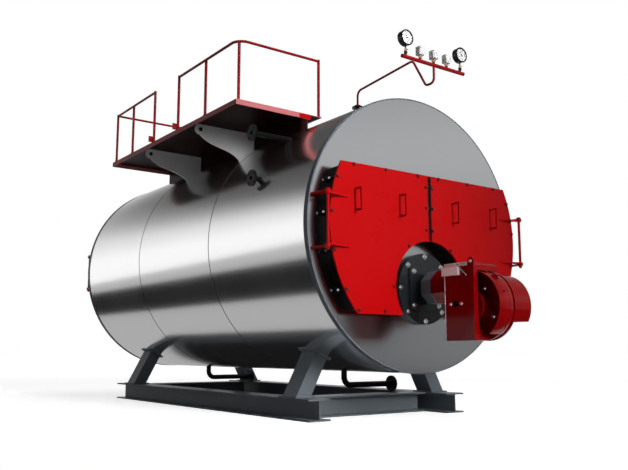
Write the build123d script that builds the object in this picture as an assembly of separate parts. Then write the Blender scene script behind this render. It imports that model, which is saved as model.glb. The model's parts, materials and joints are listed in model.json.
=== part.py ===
# Horizontal three-pass fire-tube steam boiler on a steel base, with a burner, gauges and a platform.
# Millimetres. The origin is on the ground under the middle of the shell; +Y is the rear, +Z is up.
import os
from math import cos, radians, sin, sqrt

from build123d import *

# Shell
shell_radius = 1200
shell_length = 4850
shell_clearance = 385
shell_wall = 90
band_count = 3
seam_chamfer = 3
edge_band_depth = 50
edge_band_proud = 4
edge_band_lip = 8
seat_gap = 0.3

# End plates, tube sheets and smoke boxes
plate_thickness = 14
chamber_depth = 160
sheet_thickness = 20
tube_bore = 0.064 * shell_radius
tube_pitch = 0.14 * shell_radius
tube_columns = 6
tube_rows = 7
door_radius = 0.901 * shell_radius
door_top = 0.406 * shell_radius
door_bottom = -0.6 * shell_radius
door_face = 133
door_thickness = 16
door_gap = 5
door_overhang = 30
seam_gap = 12
frame_wall = 14
mullion_width = 60
lining_thickness = 60
lining_clearance = 20

# Door hinges and handles
pin_reach = 0.94 * shell_radius
pin_out = 171
pin_radius = 12
pin_running_gap = 0.1
hinge_half = 0.1725 * shell_radius
strap_thickness = 14
strap_gap = 1
strap_tip = 0.73 * shell_radius
boss_radius = 25
bracket_inner = 0.91 * shell_radius
bracket_outer = 0.977 * shell_radius
pin_head_radius = 19
pin_head_height = 12
handle_height = 190
handle_middle = 0.155 * shell_radius
handle_out = 86
handle_bar = 14
handle_strip = 5
left_handles = (-0.687 * shell_radius, -0.289 * shell_radius)
right_handles = (0.232 * shell_radius, 0.642 * shell_radius)

# Burner
burner_drop = 0.404 * shell_radius
burner_hole = 0.334 * shell_radius
flange_radius = 303
flange_thickness = 54
mount_plate_side = 380
mount_plate_thickness = 18
mount_plate_corner = 32
neck_radius = 118
neck_length = 73
octagon_flats = 270
collar_length = 112
head_length = 180
casing_left = -156
casing_side = 48
casing_depth = 306
casing_top = 100
casing_bottom = -446
foot_height = 43
foot_depth = 60
foot_sweep = 100
body_right = 130
body_depth = 170
body_bottom = -150
arm_width = 62
arm_thickness = 14
arm_low = 20
arm_high = 166
arm_out = 292
lid_height = 62
lid_inset = 10
lid_chamfer = 20
box_depth = 22
box_length = 176
box_height = 66
fan_radius = 262
fan_width = 75
fan_drop = 175
fan_ahead = 244
fan_neck_radius = 112
fan_neck_length = 119
fan_eye_step = 8
fan_lip = 10
fan_lip_width = 16
joint_radius = 225
joint_width = 10
hood_radius = 252
hood_width = 190
hood_wall = 8
hood_cut = 124

# Base and legs
leg_outer = 0.725 * shell_radius
leg_width = 153
leg_length = 203
leg_lean = 0.537
leg_wall = 10
beam_inset = 76
beam_width = 228
beam_depth = 182
beam_length = 0.84 * shell_length
beam_flange = 14
beam_web = 10
leg_inset = 332
cross_inset = 397
foot_margin = 28
foot_thickness = 12
saddle_thickness = 10
saddle_margin = 26
anchor_offset = 56
anchor_inset = 157
anchor_radius = 11

# Platform
platform_overhang = 100
platform_inner = 0.2875 * shell_radius
platform_length = 2932
deck_rise = 30
deck_thickness = 8
fascia_height = 50
fascia_thickness = 6
support_reach = 0.44 * shell_radius
support_width = 90
gusset_station = 590
gusset_thickness = 12
gusset_tip = 52
gusset_inset = 42
gusset_waist = (-0.877 * shell_radius, -0.156 * shell_radius)
gusset_neck = (-0.733 * shell_radius, -0.193 * shell_radius)
gusset_heel = -0.633 * shell_radius
rail_radius = 13
post_radius = 14
rail_height = 569
rail_corner = 110
post_inset = 22
post_bays = 5
post_shift = 45
rear_post_inset = 64
rear_rail_reach = 440
lug_length = 62
lug_height = 66
lug_thickness = 8

# Nozzles and blowdown pipes
pipe_wall = 5
flange_reach = 51
flange_depth = 18
flange_hole = 9
hole_inset = 20
small_flange_bolts = 4
large_flange_bolts = 8
water_pipe = 24
water_station = -1531
water_rises = (0.42 * shell_radius, 0.765 * shell_radius)
water_face = 0.98 * shell_radius
steam_pipe = 70
steam_station = 0
safety_pipe = 38
safety_station = 640
crown_nozzle_height = 150
blowdown_pipe = 28
blowdown_station = 1356
blowdown_height = 253
blowdown_bend = 76
blowdown_face = 0.51 * shell_radius
blowdown_stub = 60
flue_rise = 0.7 * shell_radius
flue_bore = 0.175 * shell_radius
flue_wall = 8
flue_length = 160
flue_flange_reach = 60
flue_flange_thickness = 14
flue_bolts = 12
flue_hole = 8
flue_hole_inset = 26

# Gauge line
gauge_station = -1597
gauge_nozzle_pipe = 17
gauge_nozzle_reach = 38
gauge_nozzle_height = 165
gauge_pipe_radius = 10.7
gauge_rise = 325
gauge_slope = 66
gauge_crest = 40
gauge_bend = 60
union_radius = 30
union_height = 16
siphon_low = 110
siphon_reach = 100
siphon_bend = 45
header_out = 222
header_rise = 267
header_radius = 17
header_half = 376
gauge_spread = 332
switch_spread = 160
gauge_radius = 68
gauge_depth = 52
gauge_rim = 8
gauge_stem = 140
stem_radius = 7
nut_radius = 16
nut_height = 22
socket_radius = 12
socket_height = 26
switch_width = 62
switch_depth = 56
switch_height = 74
switch_corner = 6
switch_neck = 26

front = -shell_length / 2
rear = shell_length / 2
axis_height = shell_radius + shell_clearance
crown = axis_height + shell_radius
burner_height = axis_height - burner_drop
door_back = door_face - door_thickness
frame_depth = door_back - door_gap
wall_inset = door_overhang + frame_wall
beam_spread = leg_outer - beam_inset
leg_station = beam_length / 2 - leg_inset
cross_station = beam_length / 2 - cross_inset
anchor_station = beam_length / 2 - anchor_inset
platform_outer = shell_radius + platform_overhang
deck_top = crown + deck_rise
deck_under = deck_top - deck_thickness


def slab(outline, start, depth):
    # An outline in (x, height), from start to start + depth in front of an end plate's face.
    return extrude(Plane.XZ.offset(start) * outline, depth)


def at_front(shape):
    return Pos(0, front, 0) * shape


def at_rear(shape):
    return Pos(0, rear, 0) * Rot(0, 0, 180) * shape


def disc(radius, rise=0):
    return Pos(0, axis_height + rise) * Circle(radius)


def box_between(x0, x1, y0, y1, z0, z1):
    middle = ((x0 + x1) / 2, (y0 + y1) / 2, (z0 + z1) / 2)
    return Pos(*middle) * Box(abs(x1 - x0), abs(y1 - y0), abs(z1 - z0))


def rod(start, end, radius):
    axis = Vector(*end) - Vector(*start)
    base = Plane(origin=start, z_dir=axis)
    return extrude(base * Circle(radius), axis.length)


def shell_cutter(gap):
    return rod((0, -shell_length, axis_height), (0, shell_length, axis_height), shell_radius + gap)


# Shell bands and end trims


def shell_band(index):
    start = index * shell_length / band_count
    end = (index + 1) * shell_length / band_count
    if index == 0:
        start = edge_band_depth
    if index == band_count - 1:
        end = shell_length - edge_band_depth
    band = slab(disc(shell_radius) - disc(shell_radius - shell_wall), -end, end - start)
    outer_edges = band.edges().filter_by(GeomType.CIRCLE).group_by(SortBy.RADIUS)[-1]
    return at_front(chamfer(outer_edges, seam_chamfer))


def edge_band():
    ring = disc(shell_radius + edge_band_proud) - disc(shell_radius - edge_band_lip)
    return slab(ring, -edge_band_depth, edge_band_depth)


def box_outline(inset, burner):
    # The outline of both doors together, drawn in by inset on every side.
    width = 2 * door_radius
    height = door_top - door_bottom - 2 * inset
    middle = axis_height + (door_top + door_bottom) / 2
    outline = disc(door_radius - inset) & Pos(0, middle) * Rectangle(width, height)
    if burner:
        outline -= disc(burner_hole + inset, -burner_drop)
    return outline


def half_plane(side, gap):
    # The half of an end to one side of the seam, gap away from it.
    return Pos(side * (gap + shell_radius / 2), axis_height) * Rectangle(shell_radius, 2 * shell_radius)


def end_plate(burner):
    outline = disc(shell_radius - edge_band_lip - seat_gap) - box_outline(wall_inset, burner)
    if not burner:
        outline -= disc(flue_bore, flue_rise)
    return slab(outline, -plate_thickness, plate_thickness)


def smokebox_frame(burner):
    outer = box_outline(door_overhang, burner)
    wall = outer - box_outline(wall_inset, burner)
    mullion = outer & Pos(0, axis_height) * Rectangle(mullion_width, 2 * shell_radius)
    return slab(wall + mullion, 0, frame_depth)


def tube_sheet(burner):
    # Flush behind the plate at the burner end, and at the back of a smoke chamber at the flue end.
    recess = plate_thickness if burner else chamber_depth
    rim = edge_band_lip if burner else shell_wall
    outline = disc(shell_radius - rim - seat_gap)
    margin = wall_inset + tube_bore
    for row in range(tube_rows):
        height = door_top - margin - row * tube_pitch * sin(radians(60))
        for column in range(-tube_columns, tube_columns + 1):
            across = (column + (row % 2) / 2) * tube_pitch
            in_box = sqrt(across**2 + height**2) < door_radius - margin
            if in_box and sqrt(across**2 + (height + burner_drop)**2) > burner_hole + margin:
                outline -= Pos(across, axis_height + height) * Circle(tube_bore / 2)
    return slab(outline, -recess - sheet_thickness, sheet_thickness)


# Doors, hinges and handles


def door_panel(side, burner):
    return slab(box_outline(0, burner) & half_plane(side, seam_gap / 2), door_back, door_thickness)


def door_lining(side, burner):
    inset = wall_inset + lining_clearance
    outline = box_outline(inset, burner) & half_plane(side, mullion_width / 2 + lining_clearance)
    return slab(outline, door_back - lining_thickness, lining_thickness)


def hinge_plate(side, bottom, inner, outer, foot_out, bore):
    # A flat plate, standing on a face foot_out in front of the end plate, that ends in the pin's boss.
    boss = Pos(side * pin_reach, -pin_out) * Circle(boss_radius)
    foot = Pos(side * (inner + outer) / 2, -foot_out - seat_gap) * Rectangle(outer - inner, 2 * seat_gap)
    outline = make_hull(boss.edges() + foot.edges())
    if bore:
        outline -= Pos(side * pin_reach, -pin_out) * Circle(bore)
    return extrude(Plane.XY.offset(axis_height + bottom) * outline, strap_thickness)


def hinge_fixed(side):
    low = -hinge_half - strap_gap - strap_thickness
    plates = [hinge_plate(side, bottom, bracket_inner, bracket_outer, 0, 0)
              for bottom in (hinge_half + strap_gap, low)]
    place = (side * pin_reach, -pin_out)
    top = axis_height + hinge_half + strap_gap + strap_thickness
    pin = rod((*place, axis_height + low), (*place, top), pin_radius)
    head = rod((*place, top), (*place, top + pin_head_height), pin_head_radius)
    return plates[0] + plates[1] + pin + head


def door_handle(across):
    # A square-bar grip on two legs, with a thin strip between their feet.
    half = handle_bar / 2
    low = axis_height + handle_middle - handle_height / 2
    high = low + handle_height
    far = -door_face - handle_out
    handle = box_between(across - half, across + half, far, far + handle_bar, low, high)
    for foot in (low, high - handle_bar):
        handle += box_between(across - half, across + half, far, -door_face, foot, foot + handle_bar)
    strip = box_between(across - half, across + half, -door_face - handle_strip, -door_face, low, high)
    return handle + strip


def door_fittings(side, handles):
    edge = sqrt(door_radius**2 - hinge_half**2)
    bore = pin_radius + pin_running_gap
    straps = [hinge_plate(side, bottom, strap_tip, edge, door_face, bore)
              for bottom in (hinge_half - strap_thickness, -hinge_half)]
    return Compound(children=straps + [door_handle(across) for across in handles])


# Burner, on its own axis below the shell's


def burner_prism(outline, start, length):
    return slab(Pos(0, burner_height) * outline, start, length)


mount_start = flange_thickness
neck_start = mount_start + mount_plate_thickness
collar_start = neck_start + neck_length
head_start = collar_start + collar_length
casing_start = head_start + head_length
fan_height = burner_height - fan_drop
fan_out = casing_start + fan_ahead
fan_start = casing_left + casing_side
drum_start = fan_start + fan_neck_length
drum_end = drum_start + fan_width
hood_start = drum_end + joint_width


def fan_drum(start, width, radius):
    return rod((start, -fan_out, fan_height), (start + width, -fan_out, fan_height), radius)


def fan_turned(profile):
    # A solid of revolution about the fan's axis, from points given as (across, radius).
    return Pos(0, -fan_out, fan_height) * revolve(Polygon(*profile, align=None), Axis.X)


def burner_flange():
    flange = burner_prism(Circle(flange_radius), 0, flange_thickness)
    square = Rectangle(mount_plate_side, mount_plate_side)
    plate = burner_prism(chamfer(square.vertices(), mount_plate_corner), mount_start, mount_plate_thickness)
    return flange + plate + burner_prism(Circle(neck_radius), neck_start, neck_length)


def octagon():
    return Rotation(0, 0, 22.5) * RegularPolygon(octagon_flats / 2, 8, major_radius=False)


def fan_clearance():
    # The room that the neck, the drum and the hood take up, with a running gap round them.
    neck = fan_neck_radius + seat_gap
    rim = fan_radius + fan_lip + seat_gap
    end = hood_start + hood_width
    return fan_turned([(fan_start - seat_gap, 0), (fan_start - seat_gap, neck),
                       (drum_start - seat_gap, neck), (drum_start - seat_gap, rim), (end, rim), (end, 0)])


def burner_head():
    return burner_prism(octagon(), head_start, head_length) - fan_clearance()


def burner_casing():
    top = burner_height + casing_top
    bottom = burner_height + casing_bottom
    face = casing_start + casing_depth
    side = box_between(casing_left, fan_start, -casing_start, -face, bottom, top)
    body = box_between(fan_start, body_right, -casing_start, -casing_start - body_depth,
                       burner_height + body_bottom, top)
    corner = (fan_start, bottom + foot_height)
    outline = Polygon((casing_left, bottom), (drum_start, bottom), (drum_start, bottom + foot_height),
                      corner, (fan_start, burner_height), (casing_left, burner_height), align=None)
    outline = fillet(outline.vertices().sort_by_distance(corner)[0], foot_sweep)
    foot = slab(outline, face - foot_depth, foot_depth)
    slot = SlotOverall(arm_high - arm_low + arm_width, arm_width, rotation=90)
    plane = Plane(origin=(casing_left, -casing_start - arm_out, burner_height + (arm_low + arm_high) / 2),
                  x_dir=(0, 1, 0), z_dir=(1, 0, 0))
    arm = extrude(plane * slot, -arm_thickness)
    return side + (body + foot - fan_clearance()) + arm


def burner_lid():
    bottom = burner_height + casing_top
    lid = box_between(casing_left, body_right, -casing_start - lid_inset,
                      -casing_start - casing_depth + lid_inset, bottom, bottom + lid_height)
    ridge = lid.edges().filter_by(Axis.X).group_by(Axis.Z)[-1]
    return chamfer(ridge, lid_chamfer)


def burner_control_box():
    top = burner_height + casing_top
    back = -casing_start + lid_inset
    return box_between(casing_left - box_depth, casing_left, back, back - box_length,
                       top - box_height / 2, top + box_height / 2)


def burner_fan():
    # The eye's disc, the neck, the drum with a lip at each end, and the joint to the hood.
    lip = fan_radius + fan_lip
    eye = fan_neck_radius - fan_lip_width
    return fan_turned([
        (fan_start + fan_eye_step, 0), (fan_start + fan_eye_step, eye), (fan_start, eye),
        (fan_start, fan_neck_radius), (drum_start, fan_neck_radius), (drum_start, lip),
        (drum_start + fan_lip_width, lip), (drum_start + fan_lip_width, fan_radius),
        (drum_end - fan_lip_width, fan_radius), (drum_end - fan_lip_width, lip), (drum_end, lip),
        (drum_end, joint_radius), (hood_start, joint_radius), (hood_start, 0)])


def burner_hood():
    # A round hood that is hollow and open along its flat bottom.
    hood = fan_drum(hood_start, hood_width, hood_radius)
    hood -= fan_drum(hood_start + hood_wall, hood_width - 2 * hood_wall, hood_radius - hood_wall)
    keep = box_between(hood_start, hood_start + hood_width, -fan_out - hood_radius, -fan_out + hood_radius,
                       fan_height - hood_cut, fan_height + hood_radius)
    return hood & keep


# Beams and legs


def beam_profile():
    flange = Rectangle(beam_width, beam_flange)
    middle = (beam_depth - beam_flange) / 2
    web = Rectangle(beam_web, beam_depth)
    return Pos(0, middle) * flange + Pos(0, -middle) * flange + web


def side_beam(side):
    profile = Pos(side * beam_spread, beam_depth / 2) * beam_profile()
    beam = extrude(Plane.XZ.offset(-beam_length / 2) * profile, beam_length)
    for station in (-anchor_station, anchor_station):
        place = (side * (beam_spread + anchor_offset), station)
        beam -= rod((*place, -1), (*place, beam_flange + 1), anchor_radius)
    return beam


def cross_beam(station):
    reach = beam_spread - beam_width / 2
    plane = Plane(origin=(-reach, station, beam_depth / 2), x_dir=(0, 1, 0), z_dir=(1, 0, 0))
    return extrude(plane * beam_profile(), 2 * reach)


def leg(side, station):
    foot = beam_depth + foot_thickness
    rise = axis_height - foot
    inner = leg_outer - leg_width

    def slanted(inset, length):
        left = leg_outer - inset
        right = inner + inset
        outline = Polygon((-left, foot), (-right, foot), (-right + leg_lean * rise, axis_height),
                          (-left + leg_lean * rise, axis_height), align=None)
        return extrude(Plane.XZ.offset(length / 2) * outline, -length)

    post = slanted(0, leg_length) - slanted(leg_wall, leg_length - 2 * leg_wall)
    post -= shell_cutter(saddle_thickness)
    length = leg_length / 2 + foot_margin
    plate = box_between(-leg_outer - foot_margin, -inner + foot_margin, -length, length, beam_depth, foot)
    contact = post.faces().sort_by(Axis.Z)[-1].bounding_box()
    pad = shell_cutter(saddle_thickness + seat_gap) - shell_cutter(seat_gap)
    pad &= box_between(contact.min.X - saddle_margin, contact.max.X + saddle_margin, -length, length,
                       foot, axis_height)
    whole = post + plate + pad
    if side > 0:
        whole = mirror(whole, about=Plane.YZ)
    return Pos(0, station, 0) * whole


# Platform deck, support and rails


def platform_deck():
    half = platform_length / 2
    low = deck_top - fascia_height
    deck = box_between(-platform_outer, -platform_inner, -half, half, deck_under, deck_top)
    deck += box_between(-platform_outer, -platform_outer + fascia_thickness, -half, half, low, deck_top)
    for end, inside in ((-half, -half + fascia_thickness), (half, half - fascia_thickness)):
        deck += box_between(-platform_outer, support_width / 2 - support_reach, end, inside, low, deck_top)
    return deck


def platform_support():
    length = platform_length - 2 * (fascia_thickness + seat_gap)
    outline = SlotOverall(length, support_width, rotation=90)
    pad = extrude(Plane.XY.offset(axis_height) * Pos(-support_reach, 0) * outline, deck_under - axis_height)
    return pad - shell_cutter(seat_gap)


def gusset(station):
    # A bracket plate with a rounded tip and a lower edge that sweeps down on to the shell.
    tip_x = -platform_outer + gusset_inset + gusset_tip
    right = -support_reach - support_width / 2 - seat_gap
    low = deck_under - 2 * gusset_tip
    waist, neck = [(x, deck_under + drop) for x, drop in (gusset_waist, gusset_neck)]
    heel = (gusset_heel, axis_height + sqrt(shell_radius**2 - gusset_heel**2))
    top = Line((right, deck_under), (tip_x, deck_under))
    tip = ThreePointArc((tip_x, deck_under), (tip_x - gusset_tip, deck_under - gusset_tip), (tip_x, low))
    lower = Spline((tip_x, low), waist, neck, heel)
    close = Polyline(heel, (right, axis_height), (right, deck_under))
    outline = make_face([top, tip, lower, close])
    plate = extrude(Plane.XZ.offset(-station - gusset_thickness / 2) * outline, gusset_thickness)
    return plate - shell_cutter(seat_gap)


rail_z = deck_top + rail_height
post_x = -platform_outer + post_inset
inner_post_x = -platform_inner - post_inset
front_post_y = -platform_length / 2 + post_inset
rear_post_y = platform_length / 2 - rear_post_inset
post_pitch = platform_length / post_bays
post_ys = [-platform_length / 2 + post_shift + post_pitch * index for index in range(1, post_bays)]


def rail_post(x, y, top):
    return rod((x, y, deck_top), (x, y, top), post_radius)


def end_post(x, y):
    # A post whose flat top covers the end of a rail.
    return rail_post(x, y, rail_z + post_radius)


def middle_post(x, y):
    # A post that runs up into the rail over it.
    return rail_post(x, y, rail_z - rail_radius / 2)


def ladder_lug(station):
    half = lug_thickness / 2
    return box_between(post_x - lug_length, post_x, station - half, station + half,
                       deck_top, deck_top + lug_height)


def front_rail():
    # The rail bends round the outer corner, over a post that stands under the middle of the bend.
    points = [(inner_post_x, front_post_y, rail_z), (post_x, front_post_y, rail_z),
              (post_x, post_ys[1], rail_z)]
    path = FilletPolyline(*points, radius=rail_corner)
    rail = sweep(Plane(origin=points[0], z_dir=(-1, 0, 0)) * Circle(rail_radius), path=path)
    inset = rail_corner * (1 - cos(radians(45)))
    rail += end_post(inner_post_x, front_post_y) + end_post(post_x, post_ys[1])
    rail += middle_post(post_x + inset, front_post_y + inset) + middle_post(post_x, post_ys[0])
    return rail + ladder_lug(post_ys[1])


def rear_rail():
    inner_x = -rear_rail_reach
    rail = rod((post_x, post_ys[2], rail_z), (post_x, rear_post_y, rail_z), rail_radius)
    rail += rod((post_x, rear_post_y, rail_z), (inner_x, rear_post_y, rail_z), rail_radius)
    for x, y in ((post_x, post_ys[2]), (post_x, rear_post_y), (inner_x, rear_post_y)):
        rail += end_post(x, y)
    return rail + middle_post(post_x, post_ys[3]) + ladder_lug(post_ys[2])


# Nozzles and pipes


def flanged_stub(pipe_radius, length, reach, bolts):
    # A stub along +Z whose flange face is at z = 0 and whose pipe runs down by length.
    flange = pipe_radius + reach
    stub = Pos(0, 0, -length / 2) * Cylinder(pipe_radius, length)
    stub += Pos(0, 0, -flange_depth / 2) * Cylinder(flange, flange_depth)
    stub += Pos(0, 0, -3 * flange_depth / 2) * Cone(pipe_radius, pipe_radius + flange_hole, flange_depth)
    stub -= Pos(0, 0, -length / 2) * Cylinder(pipe_radius - pipe_wall, 2 * length)
    spots = PolarLocations(flange - hole_inset, bolts, start_angle=180 / bolts)
    return stub - spots * Cylinder(flange_hole, 4 * flange_depth)


def water_nozzle(rise):
    reach = water_face - sqrt(shell_radius**2 - rise**2)
    stub = flanged_stub(water_pipe, reach + 2 * water_pipe, flange_reach, small_flange_bolts)
    place = Plane(origin=(-water_face, water_station, axis_height + rise), z_dir=(-1, 0, 0))
    return place * stub - shell_cutter(seat_gap)


def crown_nozzle(station, pipe_radius, height, reach, bolts):
    stub = flanged_stub(pipe_radius, 1.5 * height, reach, bolts)
    return Pos(0, station, crown + height) * stub - shell_cutter(seat_gap)


def blowdown(station):
    face = (blowdown_face, station, blowdown_height)
    end = (blowdown_face - blowdown_stub / 2, station, blowdown_height)
    points = [(0, station, shell_clearance + blowdown_pipe), (0, station, blowdown_height), end]
    path = FilletPolyline(*points, radius=blowdown_bend)
    pipe = sweep(Plane(origin=points[0], z_dir=(0, 0, -1)) * Circle(blowdown_pipe), path=path)
    stub = flanged_stub(blowdown_pipe, blowdown_stub, flange_reach, small_flange_bolts)
    flange = Plane(origin=face, z_dir=(1, 0, 0)) * stub
    bore = rod((blowdown_face - blowdown_stub, station, blowdown_height), face, blowdown_pipe - pipe_wall)
    return pipe + flange - bore - shell_cutter(seat_gap)


def flue_outlet():
    ring = disc(flue_bore + flue_wall, flue_rise) - disc(flue_bore, flue_rise)
    flange = flue_bore + flue_flange_reach
    face = disc(flange, flue_rise) - disc(flue_bore, flue_rise)
    centre = Pos(0, axis_height + flue_rise)
    spots = PolarLocations(flange - flue_hole_inset, flue_bolts)
    face -= [centre * spot * Circle(flue_hole) for spot in spots]
    face_start = flue_length - flue_flange_thickness
    return slab(ring, 0, flue_length) + slab(face, face_start, flue_flange_thickness)


# Gauge line fittings


header_y = front - header_out
header_z = crown + header_rise
socket_top = header_z + socket_height + seat_gap


def gauge_pipe():
    start_z = crown + gauge_nozzle_height + seat_gap
    bend_z = crown + gauge_rise
    low_z = crown + siphon_low
    points = [(0, gauge_station, start_z), (0, gauge_station, bend_z),
              (0, front + gauge_crest, bend_z + gauge_slope), (0, header_y + siphon_reach, low_z),
              (0, header_y, low_z), (0, header_y, header_z - header_radius - seat_gap)]
    path = FilletPolyline(*points, radius=(gauge_bend, gauge_bend, siphon_bend, siphon_bend))
    pipe = sweep(Plane(origin=points[0], z_dir=(0, 0, 1)) * Circle(gauge_pipe_radius), path=path)
    return pipe + rod(points[0], (0, gauge_station, start_z + union_height), union_radius)


def gauge_header():
    header = rod((-header_half, header_y, header_z), (header_half, header_y, header_z), header_radius)
    for across in (-gauge_spread, -switch_spread, 0, switch_spread, gauge_spread):
        top = (across, header_y, header_z + socket_height)
        header += rod((across, header_y, header_z), top, socket_radius)
    return header


def pressure_gauge(across):
    centre = (across, header_y, socket_top + gauge_stem)
    stem = rod((across, header_y, socket_top), centre, stem_radius)
    nut = extrude(Pos(across, header_y, socket_top) * RegularPolygon(nut_radius, 6), nut_height)
    face = header_y - gauge_depth / 2
    case = rod((across, face + gauge_depth, centre[2]), (across, face, centre[2]), gauge_radius)
    dial = rod((across, face + gauge_rim, centre[2]), (across, face, centre[2]), gauge_radius - gauge_rim)
    return stem + nut + case - dial


def pressure_switch(across):
    bottom = socket_top + switch_neck
    neck = rod((across, header_y, socket_top), (across, header_y, bottom), socket_radius)
    half_width, half_depth = switch_width / 2, switch_depth / 2
    box = box_between(across - half_width, across + half_width, header_y - half_depth,
                      header_y + half_depth, bottom, bottom + switch_height)
    return neck + fillet(box.edges().filter_by(Axis.Z), switch_corner)


nodes = {
    "base_left_beam": side_beam(-1),
    "base_right_beam": side_beam(1),
    "base_cross_beams": Compound(children=[cross_beam(-cross_station), cross_beam(cross_station)]),
    "front_legs": Compound(children=[leg(side, -leg_station) for side in (-1, 1)]),
    "rear_legs": Compound(children=[leg(side, leg_station) for side in (-1, 1)]),
    "shell_front_band": shell_band(0),
    "shell_middle_band": shell_band(1),
    "shell_rear_band": shell_band(2),
    "burner_flange": at_front(burner_flange()),
    "burner_collar": at_front(burner_prism(octagon(), collar_start, collar_length)),
    "burner_head": at_front(burner_head()),
    "burner_casing": at_front(burner_casing()),
    "burner_lid": at_front(burner_lid()),
    "burner_control_box": at_front(burner_control_box()),
    "burner_fan": at_front(burner_fan()),
    "burner_intake_hood": at_front(burner_hood()),
    "water_gauge_nozzles": Compound(children=[water_nozzle(rise) for rise in water_rises]),
    "steam_nozzle": crown_nozzle(
        steam_station, steam_pipe, crown_nozzle_height, flange_reach, large_flange_bolts),
    "safety_valve_nozzle": crown_nozzle(
        safety_station, safety_pipe, crown_nozzle_height, flange_reach, small_flange_bolts),
    "blowdown_pipes": Compound(
        children=[blowdown(station) for station in (-blowdown_station, blowdown_station)]),
    "flue_outlet": at_rear(flue_outlet()),
    "gauge_nozzle": crown_nozzle(
        gauge_station, gauge_nozzle_pipe, gauge_nozzle_height, gauge_nozzle_reach, small_flange_bolts),
    "gauge_pipe": gauge_pipe(),
    "gauge_header": gauge_header(),
    "pressure_gauges": Compound(
        children=[pressure_gauge(across) for across in (-gauge_spread, gauge_spread)]),
    "pressure_switches": Compound(
        children=[pressure_switch(across) for across in (-switch_spread, 0, switch_spread)]),
    "platform_deck": platform_deck(),
    "platform_support": platform_support(),
    "platform_gussets": Compound(
        children=[gusset(station) for station in (-gusset_station, gusset_station)]),
    "platform_front_rail": front_rail(),
    "platform_rear_rail": rear_rail(),
}
for end, place, burner in (("front", at_front, True), ("rear", at_rear, False)):
    nodes[f"{end}_edge_band"] = place(edge_band())
    nodes[f"{end}_plate"] = place(end_plate(burner))
    nodes[f"{end}_tube_sheet"] = place(tube_sheet(burner))
    nodes[f"{end}_smokebox_frame"] = place(smokebox_frame(burner))
    nodes[f"{end}_hinges"] = Compound(children=[place(hinge_fixed(side)) for side in (-1, 1)])
    for side, handles in ((-1, left_handles), (1, right_handles)):
        hand = "left" if (side < 0) == (end == "front") else "right"
        name = f"{end}_{hand}_door"
        nodes[name] = place(door_panel(side, burner))
        nodes[f"{name}_lining"] = place(door_lining(side, burner))
        nodes[f"{name}_fittings"] = place(door_fittings(side, handles))

os.makedirs("parts", exist_ok=True)
for name, shape in nodes.items():
    export_step(shape, f"parts/{name}.step")
print(len(nodes), "nodes written")
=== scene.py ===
# Steam boiler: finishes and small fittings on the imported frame
import json
import math

import bpy
from mathutils import Matrix, Vector


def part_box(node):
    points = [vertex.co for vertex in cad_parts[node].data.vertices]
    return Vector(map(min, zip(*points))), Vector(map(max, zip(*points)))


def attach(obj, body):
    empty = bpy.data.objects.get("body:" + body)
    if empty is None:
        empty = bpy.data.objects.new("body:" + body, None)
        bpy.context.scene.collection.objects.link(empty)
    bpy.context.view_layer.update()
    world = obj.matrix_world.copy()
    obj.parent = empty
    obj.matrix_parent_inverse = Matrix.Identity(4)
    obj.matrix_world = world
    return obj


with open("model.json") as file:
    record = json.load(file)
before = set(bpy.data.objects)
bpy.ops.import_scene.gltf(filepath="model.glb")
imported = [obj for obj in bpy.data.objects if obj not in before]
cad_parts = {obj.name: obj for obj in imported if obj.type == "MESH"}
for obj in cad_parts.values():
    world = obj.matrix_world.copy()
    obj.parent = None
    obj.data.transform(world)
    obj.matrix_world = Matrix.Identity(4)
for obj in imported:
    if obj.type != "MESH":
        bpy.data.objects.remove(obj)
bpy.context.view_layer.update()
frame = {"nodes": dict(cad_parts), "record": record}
nodes = frame["nodes"]
scene = bpy.context.scene
scene.view_settings.view_transform = "Standard"
bpy.ops.object.select_all(action="DESELECT")
print("frame loaded,", len(nodes), "nodes")

# places read off the frame
shellLow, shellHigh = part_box("shell_middle_band")
shellRadius = (shellHigh.z - shellLow.z) / 2
axisHeight = (shellHigh.z + shellLow.z) / 2
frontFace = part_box("front_plate")[0].y
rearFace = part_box("rear_plate")[1].y
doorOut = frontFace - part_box("front_left_door")[0].y  # how far a door's face stands out
flangeLow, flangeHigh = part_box("burner_flange")
burnerHeight = (flangeLow.z + flangeHigh.z) / 2


# camera
cameraSet = {"place": (-4.5971, -7.1739, 0.5773), "yaw": 36.085, "pitch": 8.654, "lens": 43.58,
             "sensor": 36, "clip": 200}
bpy.ops.object.camera_add(location=cameraSet["place"], rotation=(
    math.radians(90 + cameraSet["pitch"]), 0, math.radians(-cameraSet["yaw"])))
camera = bpy.context.object
camera.data.lens = cameraSet["lens"]
camera.data.sensor_width = cameraSet["sensor"]
camera.data.clip_end = cameraSet["clip"]
scene.camera = camera
print("camera set")


# shader helpers
def addNode(tree, kind, place=(0, 0), **values):
    node = tree.nodes.new(kind)
    node.location = place
    for name, value in values.items():
        setattr(node, name, value)
    return node


def newGroup(name, inputs, outputs):
    group = bpy.data.node_groups.new(name, "ShaderNodeTree")
    for label, kind, value in inputs:
        socket = group.interface.new_socket(label, in_out="INPUT", socket_type=kind)
        socket.default_value = value
    for label, kind in outputs:
        group.interface.new_socket(label, in_out="OUTPUT", socket_type=kind)
    return group, addNode(group, "NodeGroupInput", (-900, 0)), addNode(group, "NodeGroupOutput", (600, 0))


def mathNode(tree, operation, first, second, place=(0, 0), clamp=False):
    node = addNode(tree, "ShaderNodeMath", place, operation=operation, use_clamp=clamp)
    for socket, value in zip(node.inputs, (first, second)):
        if isinstance(value, (int, float)):
            socket.default_value = value
        else:
            tree.links.new(value, socket)
    return node.outputs[0]


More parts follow.
